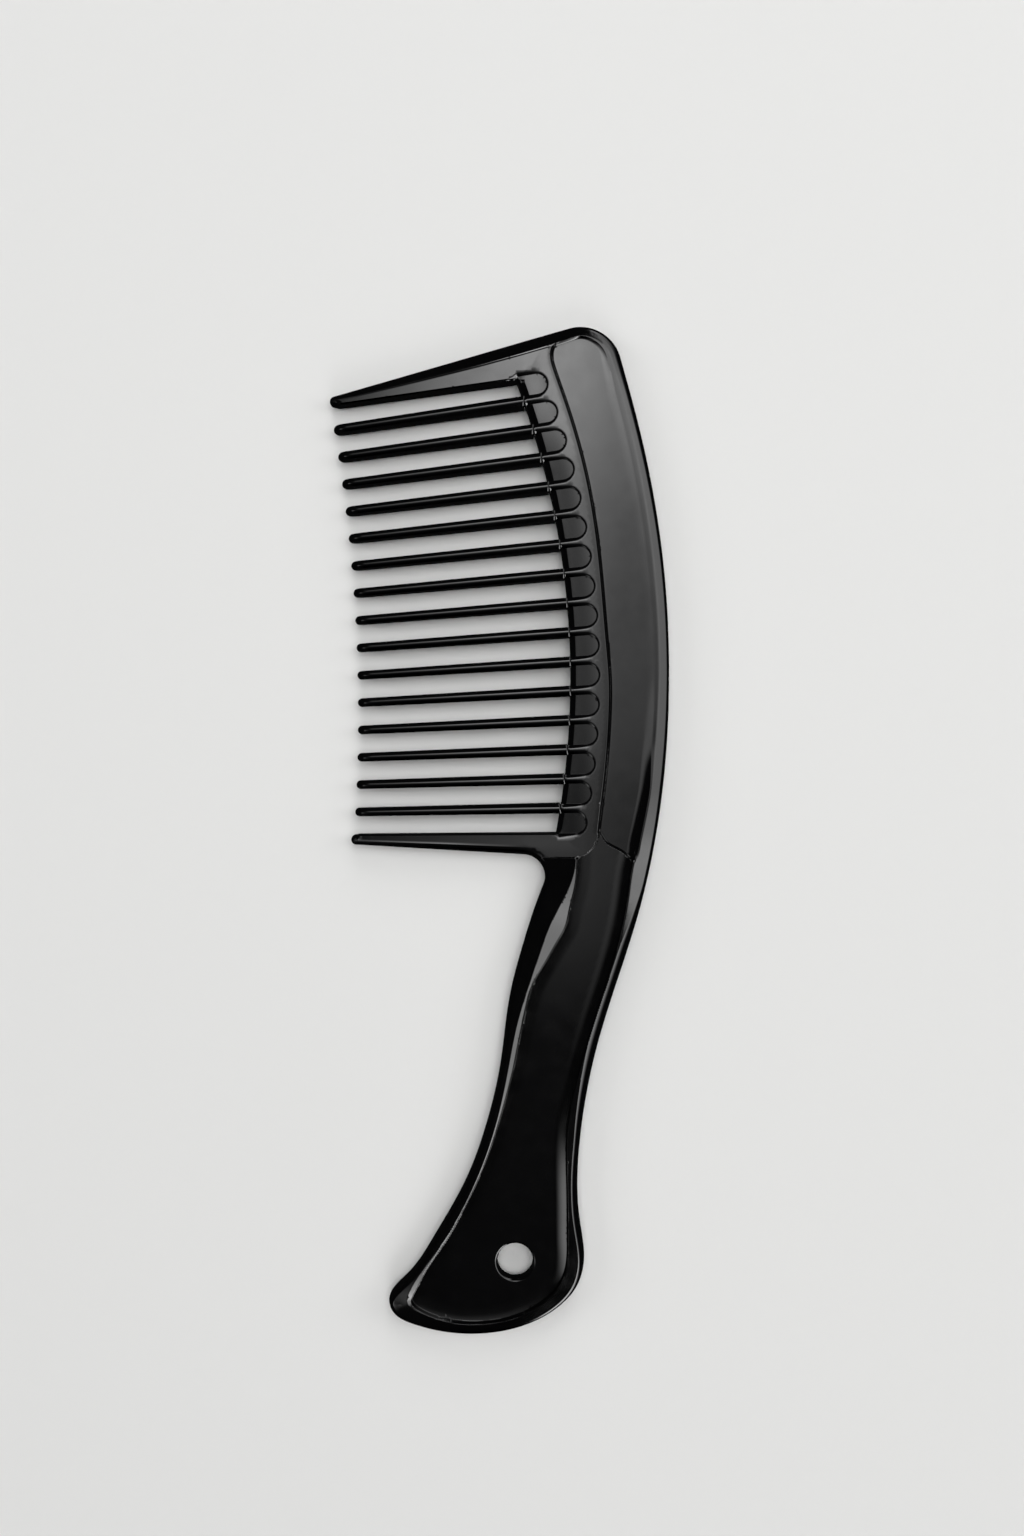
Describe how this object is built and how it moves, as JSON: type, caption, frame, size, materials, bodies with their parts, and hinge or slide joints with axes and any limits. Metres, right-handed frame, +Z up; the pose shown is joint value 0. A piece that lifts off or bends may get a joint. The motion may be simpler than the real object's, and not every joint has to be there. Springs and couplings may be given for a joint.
{
  "type": "wide tooth comb",
  "caption": "Flat black plastic wide tooth comb: a curved row of round-tipped teeth between two guards, a sunken back panel and a dished handle with a hanging hole.",
  "frame": {"origin": "centre of the comb's outline, on the surface that it lies on", "axes": "+Y runs along the comb from the handle's end to the top guard, +Z is up through the thickness, and the teeth point along -X"},
  "size_m": [0.076, 0.225, 0.006],
  "materials": {
    "plastic": "glossy black injection moulding"
  },
  "bodies": {
    "root": {"handle": "plastic", "back": "plastic", "tooth_bar": "plastic", "guard_top": "plastic", "guard_bottom": "plastic", "tooth_01": "plastic", "tooth_02": "plastic", "tooth_03": "plastic", "tooth_04": "plastic", "tooth_05": "plastic", "tooth_06": "plastic", "tooth_07": "plastic", "tooth_08": "plastic", "tooth_09": "plastic", "tooth_10": "plastic", "tooth_11": "plastic", "tooth_12": "plastic", "tooth_13": "plastic", "tooth_14": "plastic", "tooth_15": "plastic"}
  },
  "joints": []
}
